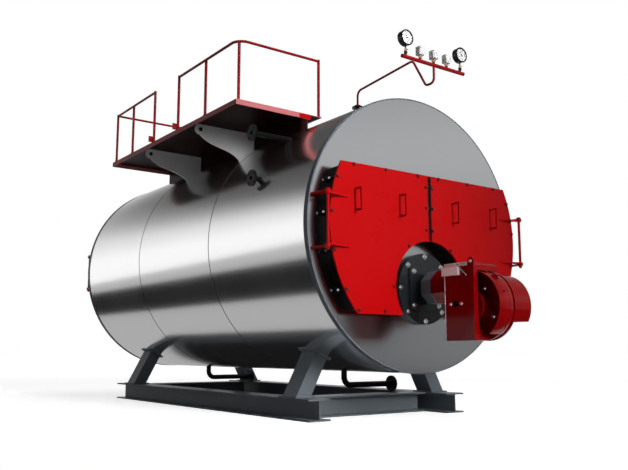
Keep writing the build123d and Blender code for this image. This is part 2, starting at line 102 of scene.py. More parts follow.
def noiseNode(tree, coords, scale, detail, place=(0, 0)):
    node = addNode(tree, "ShaderNodeTexNoise", place)
    node.inputs["Detail"].default_value = detail
    tree.links.new(coords, node.inputs["Vector"])
    if isinstance(scale, (int, float)):
        node.inputs["Scale"].default_value = scale
    else:
        tree.links.new(scale, node.inputs["Scale"])
    return node.outputs["Fac"]


def shadeColour(tree, colour, factor, place=(0, 0)):
    node = addNode(tree, "ShaderNodeVectorMath", place, operation="SCALE")
    tree.links.new(colour, node.inputs[0])
    tree.links.new(factor, node.inputs["Scale"])
    return node.outputs[0]


# sprayed paint: slow mottling, uneven gloss and a fine orange peel
skinForm = {"mottleDetail": 5, "peelDetail": 2, "peelDepth": 0.002, "unevenGloss": 0.16,
            "coatRoughness": 0.06}


def makePaintSkin():
    group, start, end = newGroup(
        "paintSkin",
        [("Colour", "NodeSocketColor", (0.5, 0.5, 0.5, 1)), ("Mottle", "NodeSocketFloat", 0.08),
         ("Mottle Scale", "NodeSocketFloat", 1.5), ("Roughness", "NodeSocketFloat", 0.3),
         ("Peel Scale", "NodeSocketFloat", 140.0)],
        [("Colour", "NodeSocketColor"), ("Roughness", "NodeSocketFloat"), ("Height", "NodeSocketFloat")])
    coords = addNode(group, "ShaderNodeTexCoord", (-900, -300)).outputs["Object"]
    slow = noiseNode(group, coords, start.outputs["Mottle Scale"], skinForm["mottleDetail"], (-600, 100))
    swing = mathNode(group, "SUBTRACT", slow, 0.5, (-400, 100))
    amount = mathNode(group, "MULTIPLY", swing, start.outputs["Mottle"], (-200, 100))
    factor = mathNode(group, "ADD", mathNode(group, "MULTIPLY", amount, 2.0), 1.0, (0, 100))
    group.links.new(shadeColour(group, start.outputs["Colour"], factor, (200, 100)), end.inputs["Colour"])
    uneven = mathNode(group, "MULTIPLY", swing, skinForm["unevenGloss"])
    rough = mathNode(group, "ADD", uneven, start.outputs["Roughness"], clamp=True)
    group.links.new(rough, end.inputs["Roughness"])
    peel = noiseNode(group, coords, start.outputs["Peel Scale"], skinForm["peelDetail"], (-600, -200))
    group.links.new(peel, end.inputs["Height"])
    return group


# rolled sheet: long fine brush lines that follow the boiler's length
sheetForm = {"lines": (160, 1.2, 160), "lineDetail": 4, "lineDepth": 0.001, "cloudScale": 0.9,
             "cloudDetail": 3}


def makeBrushedSheet():
    group, start, end = newGroup(
        "brushedSheet",
        [("Colour", "NodeSocketColor", (0.6, 0.6, 0.6, 1)), ("Roughness", "NodeSocketFloat", 0.2),
         ("Streak", "NodeSocketFloat", 0.08)],
        [("Colour", "NodeSocketColor"), ("Roughness", "NodeSocketFloat"), ("Height", "NodeSocketFloat")])
    coords = addNode(group, "ShaderNodeTexCoord", (-1100, -300)).outputs["Object"]
    stretch = addNode(group, "ShaderNodeMapping", (-900, -300))
    stretch.inputs["Scale"].default_value = sheetForm["lines"]
    group.links.new(coords, stretch.inputs["Vector"])
    lines = noiseNode(group, stretch.outputs["Vector"], 1.0, sheetForm["lineDetail"], (-600, 0))
    cloud = noiseNode(group, coords, sheetForm["cloudScale"], sheetForm["cloudDetail"], (-600, -250))
    swing = mathNode(group, "SUBTRACT", lines, 0.5, (-400, 0))
    drift = mathNode(group, "SUBTRACT", cloud, 0.5, (-400, -250))
    mixed = mathNode(group, "ADD", swing, drift, (-300, -100))
    amount = mathNode(group, "MULTIPLY", mixed, start.outputs["Streak"], (-200, 0))
    factor = mathNode(group, "ADD", amount, 1.0, (0, 0))
    group.links.new(shadeColour(group, start.outputs["Colour"], factor, (200, 100)), end.inputs["Colour"])
    rough = mathNode(group, "ADD", amount, start.outputs["Roughness"], clamp=True)
    group.links.new(rough, end.inputs["Roughness"])
    group.links.new(lines, end.inputs["Height"])
    return group


# thin settled dust on faces that look up
dustForm = {"level": 0.6, "slope": 2.5, "detail": 6, "colour": (0.42, 0.4, 0.37)}


def makeDustFall():
    group, start, end = newGroup(
        "dustFall", [("Amount", "NodeSocketFloat", 0.2), ("Scale", "NodeSocketFloat", 6.0)],
        [("Mask", "NodeSocketFloat")])
    coords = addNode(group, "ShaderNodeTexCoord", (-900, -200))
    split = addNode(group, "ShaderNodeSeparateXYZ", (-700, -300))
    group.links.new(coords.outputs["Normal"], split.inputs[0])
    above = mathNode(group, "SUBTRACT", split.outputs["Z"], dustForm["level"])
    facing = mathNode(group, "MULTIPLY", above, dustForm["slope"], clamp=True)
    patches = noiseNode(group, coords.outputs["Object"], start.outputs["Scale"], dustForm["detail"],
                        (-600, 0))
    settled = mathNode(group, "MULTIPLY", facing, patches)
    amount = mathNode(group, "MULTIPLY", settled, start.outputs["Amount"])
    group.links.new(amount, end.inputs["Mask"])
    return group


paintSkin, brushedSheet, dustFall = makePaintSkin(), makeBrushedSheet(), makeDustFall()
print("shader groups built")


def newMaterial(name):
    material = bpy.data.materials.new(name)
    material.use_nodes = True
    return material, material.node_tree, material.node_tree.nodes["Principled BSDF"]


def useGroup(tree, group, place, **values):
    node = addNode(tree, "ShaderNodeGroup", place, node_tree=group)
    for label, value in values.items():
        node.inputs[label.replace("_", " ")].default_value = value
    return node


def addBump(tree, shader, height, strength, distance):
    bump = addNode(tree, "ShaderNodeBump", (-250, -300))
    bump.inputs["Strength"].default_value = strength
    bump.inputs["Distance"].default_value = distance
    tree.links.new(height, bump.inputs["Height"])
    tree.links.new(bump.outputs["Normal"], shader.inputs["Normal"])


# a mix node has a set of sockets for each data type, and these are its colour ones
mixSockets = {"first": 6, "second": 7, "result": 2}


def mixColours(tree, mask, first, second, place=(-300, 200)):
    node = addNode(tree, "ShaderNodeMix", place, data_type="RGBA")
    tree.links.new(mask, node.inputs["Factor"])
    for label, value in (("first", first), ("second", second)):
        socket = node.inputs[mixSockets[label]]
        if isinstance(value, tuple):
            socket.default_value = (*value, 1)
        else:
            tree.links.new(value, socket)
    return node.outputs[mixSockets["result"]]


def paintMaterial(name, colour, roughness, coat=0.0, mottle=0.06, peel=0.06, dust=0.0, metallic=0.0,
                  gloss=0.3):
    material, tree, shader = newMaterial(name)
    skin = useGroup(tree, paintSkin, (-700, 0), Colour=(*colour, 1), Mottle=mottle, Roughness=roughness)
    tint = skin.outputs["Colour"]
    if dust:
        mask = useGroup(tree, dustFall, (-700, 300), Amount=dust)
        tint = mixColours(tree, mask.outputs["Mask"], tint, dustForm["colour"])
    tree.links.new(tint, shader.inputs["Base Color"])
    tree.links.new(skin.outputs["Roughness"], shader.inputs["Roughness"])
    shader.inputs["Coat Weight"].default_value = coat
    shader.inputs["Coat Roughness"].default_value = skinForm["coatRoughness"]
    shader.inputs["Metallic"].default_value = metallic
    shader.inputs["Specular IOR Level"].default_value = gloss
    addBump(tree, shader, skin.outputs["Height"], peel, skinForm["peelDepth"])
    return material


def metalMaterial(name, colour, roughness, streak, bump=0.02):
    material, tree, shader = newMaterial(name)
    sheet = useGroup(tree, brushedSheet, (-700, 0), Colour=(*colour, 1), Roughness=roughness, Streak=streak)
    tree.links.new(sheet.outputs["Colour"], shader.inputs["Base Color"])
    tree.links.new(sheet.outputs["Roughness"], shader.inputs["Roughness"])
    shader.inputs["Metallic"].default_value = 1.0
    addBump(tree, shader, sheet.outputs["Height"], bump, sheetForm["lineDepth"])
    return material


# the deck is red paint with its edges painted pale pink as a painted sheen, tread plate on top, and its
# underside painted near-black as painted shade: colour and mottle of each
deckPaintSheenAndShade = {"edge": ((0.50, 0.15, 0.155), 0.08), "top": ((0.10, 0.02, 0.02), 0.2),
             "under": ((0.016, 0.003, 0.003), 0.2), "facing": 0.5, "roughness": 0.3, "gloss": 0.03,
             "treadTurn": 45, "treadScale": 14, "treadBump": 0.35, "treadDepth": 0.002}


def deckMaterial(name):
    material, tree, shader = newMaterial(name)
    coords = addNode(tree, "ShaderNodeTexCoord", (-1300, 0))
    split = addNode(tree, "ShaderNodeSeparateXYZ", (-1100, -200))
    tree.links.new(coords.outputs["Normal"], split.inputs[0])
    up = mathNode(tree, "GREATER_THAN", split.outputs["Z"], deckPaintSheenAndShade["facing"], (-900, -100))
    # faces that look down take the near-black underside colour: painted shade
    down = mathNode(tree, "LESS_THAN", split.outputs["Z"], -deckPaintSheenAndShade["facing"], (-900, -300))
    skins = {}
    for row, side in enumerate(("edge", "top", "under"), 1):
        colour, mottle = deckPaintSheenAndShade[side]
        skins[side] = useGroup(tree, paintSkin, (-900, 200 * row), Colour=(*colour, 1), Mottle=mottle,
                               Roughness=deckPaintSheenAndShade["roughness"])
    # side faces keep the pale pink edge colour, a painted sheen on the red paint
    tint = mixColours(tree, up, skins["edge"].outputs["Colour"], skins["top"].outputs["Colour"], (-600, 300))
    tint = mixColours(tree, down, tint, skins["under"].outputs["Colour"])
    tree.links.new(tint, shader.inputs["Base Color"])
    tree.links.new(skins["edge"].outputs["Roughness"], shader.inputs["Roughness"])
    turn = addNode(tree, "ShaderNodeMapping", (-1100, -500))
    turn.inputs["Rotation"].default_value = (0, 0, math.radians(deckPaintSheenAndShade["treadTurn"]))
    tree.links.new(coords.outputs["Object"], turn.inputs["Vector"])
    checks = addNode(tree, "ShaderNodeTexWave", (-900, -500), wave_type="BANDS", bands_direction="X")
    checks.inputs["Scale"].default_value = deckPaintSheenAndShade["treadScale"]
    tree.links.new(turn.outputs["Vector"], checks.inputs["Vector"])
    tread = mathNode(tree, "MULTIPLY", checks.outputs["Fac"], up, (-600, -500))
    shader.inputs["Specular IOR Level"].default_value = deckPaintSheenAndShade["gloss"]
    addBump(tree, shader, tread, deckPaintSheenAndShade["treadBump"], deckPaintSheenAndShade["treadDepth"])
    return material


# cast refractory: coarse, pitted and matt
brickForm = {"mottle": 0.35, "mottleScale": 14.0, "roughness": 0.85, "pitScale": 60.0, "pits": 0.6,
             "pitDepth": 0.004}


def brickMaterial(name, colour):
    material, tree, shader = newMaterial(name)
    skin = useGroup(tree, paintSkin, (-700, 0), Colour=(*colour, 1), Mottle=brickForm["mottle"],
                    Mottle_Scale=brickForm["mottleScale"], Roughness=brickForm["roughness"],
                    Peel_Scale=brickForm["pitScale"])
    tree.links.new(skin.outputs["Colour"], shader.inputs["Base Color"])
    tree.links.new(skin.outputs["Roughness"], shader.inputs["Roughness"])
    addBump(tree, shader, skin.outputs["Height"], brickForm["pits"], brickForm["pitDepth"])
    return material


finishes = {
    "base_paint": paintMaterial("charcoalPaint", (0.125, 0.143, 0.16), roughness=0.35, dust=0.05, gloss=0.08),
    "stainless_cladding": metalMaterial("polishedCladding", (0.95, 0.95, 0.95), roughness=0.18, streak=0.05),
    "dark_iron": paintMaterial("burnerIron", (0.011, 0.013, 0.015), roughness=0.25, coat=0.2, gloss=0.3),
    "grey_paint": metalMaterial("satinEndPlate", (0.545, 0.56, 0.575), roughness=0.2, streak=0.04, bump=0.01),
    "burner_red": paintMaterial("burnerLacquer", (0.19, 0.001, 0.0015), roughness=0.16, coat=0.12,
                                gloss=0.12),
    "door_red": paintMaterial("doorLacquer", (0.39, 0.002, 0.003), roughness=0.3, gloss=0.07),
    "rail_red": paintMaterial("railLacquer", (0.30, 0.004, 0.007), roughness=0.22, coat=0.1, gloss=0.15),
    "silver_box": paintMaterial("controlBoxWhite", (0.93, 0.93, 0.93), roughness=0.2, coat=0.4, gloss=0.5),
    "black_paint": paintMaterial("pipeBlack", (0.004, 0.004, 0.005), roughness=0.3, gloss=0.08),
    "gauge_black": paintMaterial("gaugeCase", (0.010, 0.010, 0.011), roughness=0.3, coat=0.2),
    "switch_grey": paintMaterial("switchBody", (0.80, 0.81, 0.82), roughness=0.4),
    "platform_brown": paintMaterial("supportBrown", (0.016, 0.003, 0.003), roughness=0.3, gloss=0.05),
    "galvanised_grey": paintMaterial("bracketGrey", (0.68, 0.68, 0.68), roughness=0.3, mottle=0.1),
    "boiler_steel": paintMaterial("sootedSteel", (0.10, 0.096, 0.09), roughness=0.6, mottle=0.4, peel=0.3,
                                  metallic=0.6),
    "refractory": brickMaterial("castRefractory", (0.56, 0.47, 0.35)),
}
deckFinish = deckMaterial("deckPlate")
collarFinish = paintMaterial("collarGrey", (0.10, 0.105, 0.12), roughness=0.3, coat=0.2)
# pale pink for the lid's corner: a painted highlight on the burner's red paint
paleHighlightFinish = paintMaterial("paleHighlightSheet", (0.72, 0.60, 0.61), roughness=0.25, coat=0.3)
brightSteel = metalMaterial("brightSteel", (0.72, 0.72, 0.72), roughness=0.16, streak=0.05)
brassFinish = metalMaterial("yellowBrass", (0.86, 0.72, 0.38), roughness=0.24, streak=0.08)
boltRed = paintMaterial("boltLacquer", (0.14, 0.003, 0.004), roughness=0.3, coat=0.4)
dialWhite = paintMaterial("dialWhite", (0.86, 0.86, 0.85), roughness=0.5)
inkBlack = paintMaterial("dialInk", (0.01, 0.01, 0.01), roughness=0.5)
seamGrey = paintMaterial("lapSeam", (0.045, 0.045, 0.045), roughness=0.5, mottle=0.3)
for part in frame["record"]["subparts"]:
    mesh = nodes[part["node"]].data
    mesh.materials.clear()
    mesh.materials.append(finishes[part["material_slot"]])
nodes["platform_deck"].data.materials[0] = deckFinish
nodes["burner_collar"].data.materials[0] = collarFinish


# mesh helpers
faceFront = Matrix.Rotation(math.pi / 2, 4, "X")  # turns what is drawn along +Z to the front


def startPiece(name):
    piece = bpy.context.object
    piece.name = piece.data.name = name
    return piece


def startEdit():
    bpy.ops.object.mode_set(mode="EDIT")
    bpy.ops.mesh.select_all(action="SELECT")


def endEdit():
    bpy.ops.object.mode_set(mode="OBJECT")


def cutFaces(piece, test):
    bpy.ops.object.mode_set(mode="EDIT")
    bpy.ops.mesh.select_mode(type="FACE")
    bpy.ops.mesh.select_all(action="DESELECT")
    endEdit()
    for face in piece.data.polygons:
        face.select = test(face)
    bpy.ops.object.mode_set(mode="EDIT")
    bpy.ops.mesh.delete(type="FACE")
    endEdit()


def selectOnly(pieces):
    bpy.ops.object.select_all(action="DESELECT")
    for piece in pieces:
        piece.select_set(True)
    bpy.context.view_layer.objects.active = pieces[0]


def joinPieces(pieces, name):
    selectOnly(pieces)
    if len(pieces) > 1:
        bpy.ops.object.join()
    return startPiece(name)


def dress(piece, material, body, smooth=35):
    piece.data.materials.clear()
    piece.data.materials.append(material)
    selectOnly([piece])
    bpy.ops.object.shade_smooth_by_angle(angle=math.radians(smooth))
    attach(piece, body)


# copies of a master that stands on the origin along +Z, each set at a place and turned to a direction
def placeCopies(master, name, places):
    copies = []
    for place, direction in places:
        copy = master.copy()
        copy.data = master.data.copy()
        turn = Vector(direction).to_track_quat("Z", "Y").to_matrix().to_4x4()
        copy.data.transform(Matrix.Translation(Vector(place)) @ turn)
        scene.collection.objects.link(copy)
        copies.append(copy)
    return joinPieces(copies, name)


# each step insets the picked face, or outsets it where the first number is below nothing, and draws it out
def drawSteps(steps):
    for inward, outward in steps:
        if inward:
            bpy.ops.mesh.inset(thickness=abs(inward), use_outset=inward < 0)
        if outward:
            bpy.ops.mesh.extrude_region_move(TRANSFORM_OT_translate={"value": (0, 0, outward)})


# a turned piece along +Z: a disc drawn out step by step
def turnedPiece(name, radius, steps, sides=24, start=0.0):
    bpy.ops.mesh.primitive_circle_add(vertices=sides, radius=radius, fill_type="NGON")
    piece = startPiece(name)
    piece.data.transform(Matrix.Translation((0, 0, start)))
    startEdit()
    drawSteps(steps)
    bpy.ops.mesh.select_all(action="SELECT")
    bpy.ops.mesh.normals_make_consistent(inside=False)
    endEdit()
    return piece


# a rectangle drawn out step by step and turned to the front
def platePiece(name, width, height, steps, place):
    bpy.ops.mesh.primitive_plane_add(size=1)
    piece = startPiece(name)
    piece.data.transform(Matrix.Diagonal((width, height, 1, 1)))
    startEdit()
    drawSteps(steps)
    endEdit()
    piece.data.transform(Matrix.Translation(place) @ faceFront)
    return piece


def boxPiece(name, middle, spans):
    bpy.ops.mesh.primitive_cube_add(size=1)
    piece = startPiece(name)
    piece.data.transform(Matrix.Translation(middle) @ Matrix.Diagonal((*spans, 1)))
    return piece


# a hexagon head on a round washer, with a pin's tail past it where one is asked for; the bolts below give
# their numbers in this order, and each part here has the shares of its length that are straight and chamfered
boltForm = {"rise": 0.16, "chamfer": 0.05, "tailRadius": 0.27, "washer": (0.6, 0.4), "head": (0.8, 0.2),
            "tail": (0.9, 0.1), "washerSides": 20, "headSides": 6, "tailSides": 12}


def hexBolt(name, across, height, washer=1.35, tail=0.0):
    rise, chamfer = boltForm["rise"] * height, across * boltForm["chamfer"]
    parts = [("washer", washer * across / 2, rise, rise * boltForm["washer"][1], 0.0),
             ("head", across / 2, height, chamfer, rise)]
    if tail:
        parts.append(("tail", across * boltForm["tailRadius"], tail, chamfer, rise + height))
    pieces = []
    for part, radius, length, edge, start in parts:
        straight, slope = boltForm[part]
        steps = [(0, length * straight), (edge, length * slope)]
        pieces.append(turnedPiece(name + part, radius, steps, boltForm[part + "Sides"], start))
    return joinPieces(pieces, name)


def onCircle(radius, angle):
    turn = math.radians(angle)
    return radius * math.cos(turn), radius * math.sin(turn)


def outFront(x, out, z):
    return (x, frontFace - out, z)


def outRear(x, out, z):
    return (-x, rearFace + out, z)


# ways to face, and the two ends: the rear one repeats the front one, turned half round
toFront, toRear, toLeft, toRight = (0, -1, 0), (0, 1, 0), (-1, 0, 0), (1, 0, 0)
toTop, toGround = (0, 0, 1), (0, 0, -1)
bothEnds = (("front", outFront, toFront), ("rear", outRear, toRear))
otherHand = {"left": "right", "right": "left"}


# a white floor, soft lamps, and cards that only reflections see
studio = {
    "floor": (0.6, 0.6, 0.6), "floorSize": 160, "glow": (0.75, 1.0), "glowReach": (4.5, 16.0), "ambient": 0.1,
    "lamps": [("keyLamp", (-0.5, -10.5, 4.6), (-0.9, -2.4, 1.9), (2.0, 5.5), 85, 40),
              ("topLamp", (2.5, -1.0, 9.0), (0, 0, 0.5), (5.0, 5.0), 430, 180)],
    "runnerLift": 0.002,
    # the shade runners are painted shadow: in reflections they stand in for the floor in the boiler's shadow
    "runners": [("darkRunner", -5.7, -1.95, -8, 22, 0.012), ("shadeRunner", -1.95, -0.8, -3, 22, 0.42),
                ("underShadeRunner", -0.8, 1.4, -2.5, 2.3, 0.008), ("farRunner", -60, -5.7, -10, 70, 0.46),
                ("rearShadeRunner", -0.8, 1.4, 2.3, 22, 0.42),
                ("frontRunner", -3, 9.5, -32, -3.4, 0.03), ("sideRunner", 9.5, 40, -32, -3.4, 0.7)],
    "canopy": ((0.2, 1.0), (0.34, 0.72), (0.42, 0.36), (0.5, 0.12), (0.7, 0.06), (1.0, 0.4)),
    "frontCard": ((0.0, 0.14), (0.14, 0.42), (0.3, 0.78), (0.5, 0.3), (1.0, 0.4)),
    "canopyRadius": 38.0, "canopyEdge": 0.2, "canopySplit": 0.35, "canopySides": 96,
}


def isSeen(tree, place=(-700, -200)):
    path = addNode(tree, "ShaderNodeLightPath", place)
    shown = mathNode(tree, "ADD", path.outputs["Is Camera Ray"], path.outputs["Is Glossy Ray"])
    return mathNode(tree, "ADD", shown, path.outputs["Is Transmission Ray"], clamp=True)


def makeFloor():
    bpy.ops.mesh.primitive_plane_add(size=studio["floorSize"])
    floor = startPiece("studioFloor")
    material, tree, shader = newMaterial("studioFloorPaint")
    tree.nodes.remove(shader)
    matt = addNode(tree, "ShaderNodeBsdfDiffuse", (-300, 0))
    matt.inputs["Color"].default_value = (*studio["floor"], 1)
    glow = addNode(tree, "ShaderNodeEmission", (-300, -200))
    coords = addNode(tree, "ShaderNodeTexCoord", (-1100, -400))
    length = addNode(tree, "ShaderNodeVectorMath", (-900, -400), operation="LENGTH")
    tree.links.new(coords.outputs["Object"], length.inputs[0])
    reach = addNode(tree, "ShaderNodeMapRange", (-700, -400), interpolation_type="SMOOTHSTEP")
    reach.inputs["From Min"].default_value, reach.inputs["From Max"].default_value = studio["glowReach"]
    reach.inputs["To Min"].default_value, reach.inputs["To Max"].default_value = studio["glow"]
    tree.links.new(length.outputs["Value"], reach.inputs["Value"])
    strength = mathNode(tree, "MULTIPLY", isSeen(tree), reach.outputs["Result"])
    tree.links.new(strength, glow.inputs["Strength"])
    both = addNode(tree, "ShaderNodeAddShader", (-50, 0))
    tree.links.new(matt.outputs[0], both.inputs[0])
    tree.links.new(glow.outputs[0], both.inputs[1])
    tree.links.new(both.outputs[0], tree.nodes["Material Output"].inputs["Surface"])
    floor.data.materials.append(material)


# one level all over, or a ramp by how far a face looks up
def makeCard(card, level):
    material, tree, shader = newMaterial(card.name + "Cloth")
    tree.nodes.remove(shader)
    glow = addNode(tree, "ShaderNodeEmission", (-100, 0))
    if isinstance(level, float):
        glow.inputs["Color"].default_value = (level, level, level, 1)
    else:
        coords = addNode(tree, "ShaderNodeTexCoord", (-900, 0))
        split = addNode(tree, "ShaderNodeSeparateXYZ", (-700, 0))
        tree.links.new(coords.outputs["Normal"], split.inputs[0])
        ramp = addNode(tree, "ShaderNodeValToRGB", (-400, 0))
        while len(ramp.color_ramp.elements) < len(level):
            ramp.color_ramp.elements.new(0.5)
        for element, (place, shade) in zip(ramp.color_ramp.elements, level):
            element.position = place
            element.color = (shade, shade, shade, 1)
        tree.links.new(mathNode(tree, "ABSOLUTE", split.outputs["Z"], 0.0, (-550, 0)), ramp.inputs["Fac"])
        tree.links.new(ramp.outputs["Color"], glow.inputs["Color"])
    tree.links.new(glow.outputs[0], tree.nodes["Material Output"].inputs["Surface"])
    card.data.materials.append(material)
    card.visible_camera = card.visible_diffuse = card.visible_shadow = card.visible_transmission = False


# runners on the floor and two parts of a round canopy, open to the white between them
def makeCards():
    for name, left, right, near, far, level in studio["runners"]:
        bpy.ops.mesh.primitive_plane_add(size=1)
        card = startPiece(name)
        card.data.transform(Matrix.Translation(((left + right) / 2, (near + far) / 2, studio["runnerLift"]))
                            @ Matrix.Diagonal((right - left, far - near, 1, 1)))
        makeCard(card, level)
    radius, sides = studio["canopyRadius"], studio["canopySides"]
    edge, split = studio["canopyEdge"], studio["canopySplit"]
    for name, level, isCut in (
            ("canopyCard", studio["canopy"], lambda way: way.z < edge or way.x - way.y > split),
            ("frontCard", studio["frontCard"], lambda way: way.z < 0 or way.x - way.y <= split)):
        bpy.ops.mesh.primitive_uv_sphere_add(segments=sides, ring_count=sides, radius=radius)
        card = startPiece(name)
        cutFaces(card, lambda face: isCut(face.center / radius))
        makeCard(card, level)


def makeWorld():
    world = bpy.data.worlds.new("studioWorld")
    scene.world = world
    world.use_nodes = True
    tree = world.node_tree
    back = tree.nodes["Background"]
    level = studio["ambient"]
    shade = mixColours(tree, isSeen(tree), (level, level, level), (1.0, 1.0, 1.0))
    tree.links.new(shade, back.inputs["Color"])
    back.inputs["Strength"].default_value = 1.0


def makeLamps():
    for name, place, target, size, power, spread in studio["lamps"]:
        aim = (Vector(target) - Vector(place)).to_track_quat("-Z", "Y").to_euler()
        bpy.ops.object.light_add(type="AREA", location=place, rotation=aim)
        lamp = bpy.context.object
        lamp.name = name
        lamp.data.shape = "RECTANGLE"
        lamp.data.size, lamp.data.size_y = size
        lamp.data.energy = power
        lamp.data.spread = math.radians(spread)
        lamp.visible_glossy = False


makeFloor()
makeCards()
makeWorld()
makeLamps()
print("studio lit")


# dark lap seams between the three sheets of the cladding
shellSeams = {"sheets": 3, "width": 0.009, "proud": 0.0012, "depth": 0.003, "sides": 192}


def makeShellSeams():
    size = shellSeams
    seams = []
    for index in range(1, size["sheets"]):
        bpy.ops.mesh.primitive_cylinder_add(vertices=size["sides"], radius=shellRadius + size["proud"],
                                            depth=size["width"], end_fill_type="NOTHING")
        seam = startPiece("shellSeam")
        startEdit()
        bpy.ops.mesh.solidify(thickness=size["depth"])
        endEdit()
        along = frontFace + (rearFace - frontFace) * index / size["sheets"]
        seam.data.transform(Matrix.Translation((0, along, axisHeight)) @ faceFront)
        seams.append(seam)
    dress(joinPieces(seams, "shell_seams"), seamGrey, "boiler")


# outline of the smoke boxes, in shell radii, and where fasteners sit on its rim, in degrees
smokeBox = {"radius": 0.901, "top": 0.406, "cut": 0.334}
rimAngles = {"left": (160.5, 176.0, -167.4, -149.8), "right": (19.5, 4.0, -12.6, -30.2)}

# heads along each door's rim, seam, top, bottom and cut-out for the burner, placed in shell radii
doorBolts = {
    "bolt": (0.026, 0.013), "top": 0.394, "rim": 0.885, "cut": 0.354,
    "left": {"top": (-0.697, -0.413, -0.11), "seam": -0.033, "cut": (126.0, 181.0)},
    "right": {"top": (0.095, 0.402, 0.694), "seam": 0.028, "cut": (54.0, -1.0)},
    "seamHeights": (0.32, 0.168, 0.01), "bottom": -0.578, "bottomReach": (0.66, 0.44),
}


def makeDoorBolts():
    size = doorBolts
    bolt = hexBolt("doorBolt", *size["bolt"])
    drop = (burnerHeight - axisHeight) / shellRadius
    for end, spot, facing in bothEnds:
        for hand, sign in (("left", -1), ("right", 1)):
            row = size[hand]
            points = [(x, size["top"]) for x in row["top"]]
            points += [(row["seam"], z) for z in size["seamHeights"]]
            points += [onCircle(size["rim"], angle) for angle in rimAngles[hand]]
            points += [(sign * x, size["bottom"]) for x in size["bottomReach"]]
            if end == "front":
                points += [(x, drop + z) for x, z in (onCircle(size["cut"], angle) for angle in row["cut"])]
            places = [(spot(x * shellRadius, doorOut, axisHeight + z * shellRadius), facing)
                      for x, z in points]
            side = hand if end == "front" else otherHand[hand]
            body = f"{end}_{side}_door"
            dress(placeCopies(bolt, f"{body}_bolt_heads", places), boltRed, body)
    bpy.data.objects.remove(bolt)


# clamps round the smoke boxes: a black lug and a bright nut on the plate, and the stud that stands from it
clampStuds = {"reach": 0.886, "lug": 0.024, "lugSteps": ((0, 0.026), (0.003, 0.003)), "lugSides": 8,
              "nut": (0.030, 0.018, 1.2), "nutOut": 0.029,
              "stud": 0.0075, "studSteps": ((0, 0.104), (0.002, 0.003)), "studSides": 12}


def makeClampStuds():
    size = clampStuds
    lug = turnedPiece("clampLug", size["lug"], size["lugSteps"], size["lugSides"])
    nut = hexBolt("clampNut", *size["nut"])
    nut.data.transform(Matrix.Translation((0, 0, size["nutOut"])))
    stud = turnedPiece("clampStud", size["stud"], size["studSteps"], size["studSides"])
    black = finishes["black_paint"]
    for end, spot, facing in bothEnds:
        places = []
        for angle in rimAngles["left"] + rimAngles["right"]:
            x, z = onCircle(size["reach"] * shellRadius, angle)
            places.append((spot(x, 0, axisHeight + z), facing))
        dress(placeCopies(lug, f"{end}_clamp_lugs", places), black, "boiler")
        dress(placeCopies(nut, f"{end}_clamp_nuts", places), brightSteel, "boiler")
        dress(placeCopies(stud, f"{end}_clamp_studs", places), black, "boiler")
    for master in (lug, nut, stud):
        bpy.data.objects.remove(master)


# a nut under each hinge pin, with the pin's tail
hingeNuts = {"nut": (0.036, 0.014, 1.2, 0.008), "reach": 0.94, "out": 0.171}


def makeHingeNuts():
    nut = hexBolt("hingeNut", *hingeNuts["nut"])
    for end, spot, facing in bothEnds:
        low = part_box(f"{end}_hinges")[0].z
        reach = hingeNuts["reach"]
        places = [(spot(side * reach * shellRadius, hingeNuts["out"], low), toGround) for side in (-1, 1)]
        dress(placeCopies(nut, f"{end}_hinge_nuts", places), finishes["rail_red"], "boiler")
    bpy.data.objects.remove(nut)


makeShellSeams()
makeDoorBolts()
makeClampStuds()
makeHingeNuts()
print("door fittings made")


# bolts round the burner's flange and at the corners of its plate
flangeBolts = {"bolt": (0.03, 0.016, 1.5), "reach": 0.275, "count": 8, "first": 90, "out": 0.054,
               "plateReach": 0.143, "plateOut": 0.072}


def makeFlangeBolts():
    size = flangeBolts
    bolt = hexBolt("burnerBolt", *size["bolt"])
    places = []
    for index in range(size["count"]):
        x, z = onCircle(size["reach"], size["first"] + 360 / size["count"] * index)
        places.append((outFront(x, size["out"], burnerHeight + z), toFront))
    corner = size["plateReach"]
    for x in (-corner, corner):
        for z in (-corner, corner):
            places.append((outFront(x, size["plateOut"], burnerHeight + z), toFront))
    dress(placeCopies(bolt, "burner_flange_bolts", places), brightSteel, "boiler")
    bpy.data.objects.remove(bolt)


# the casing's port between two bolts, and one more on the casing's arm
casingLow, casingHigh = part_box("burner_casing")
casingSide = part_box("burner_control_box")[1].x
casingScrew = (0.022, 0.012, 1.4)
casingPort = {"out": 0.556, "height": 0.942, "radius": 0.028, "sides": 32,
              "steps": ((0, 0.008), (0.005, -0.005), (0.004, 0.002)), "bolts": (-0.056, 0.056),
              "armBolt": (0.729, 0.031)}


def makeCasingPort():
    size = casingPort
    out, height = size["out"], size["height"]
    port = turnedPiece("casingPort", size["radius"], size["steps"], size["sides"])
    placed = placeCopies(port, "burner_port", [(outFront(casingSide, out, height), toLeft)])
    dress(placed, finishes["black_paint"], "boiler")
    screw = hexBolt("casingScrew", *casingScrew)
    places = [(outFront(casingSide, out + shift, height), toLeft) for shift in size["bolts"]]
    armOut, armDown = size["armBolt"]
    places.append((outFront(casingLow.x, armOut, casingHigh.z - armDown), toLeft))
    dress(placeCopies(screw, "burner_casing_bolts", places), brightSteel, "boiler")
    for master in (port, screw):
        bpy.data.objects.remove(master)


# bolts on the fan's face
fanLow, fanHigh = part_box("burner_fan")
fanY, fanZ = (fanLow.y + fanHigh.y) / 2, (fanLow.z + fanHigh.z) / 2
fanBolts = {"depth": 0.085, "reach": 0.137, "count": 3, "first": 80}
drumFace = fanHigh.x - fanBolts["depth"]


def makeFanBolts():
    size = fanBolts
    screw = hexBolt("fanScrew", *casingScrew)
    places = []
    for index in range(size["count"]):
        ahead, up = onCircle(size["reach"], size["first"] + 360 / size["count"] * index)
        places.append(((drumFace, fanY - ahead, fanZ + up), toLeft))
    dress(placeCopies(screw, "burner_fan_bolts", places), brightSteel, "boiler")
    bpy.data.objects.remove(screw)


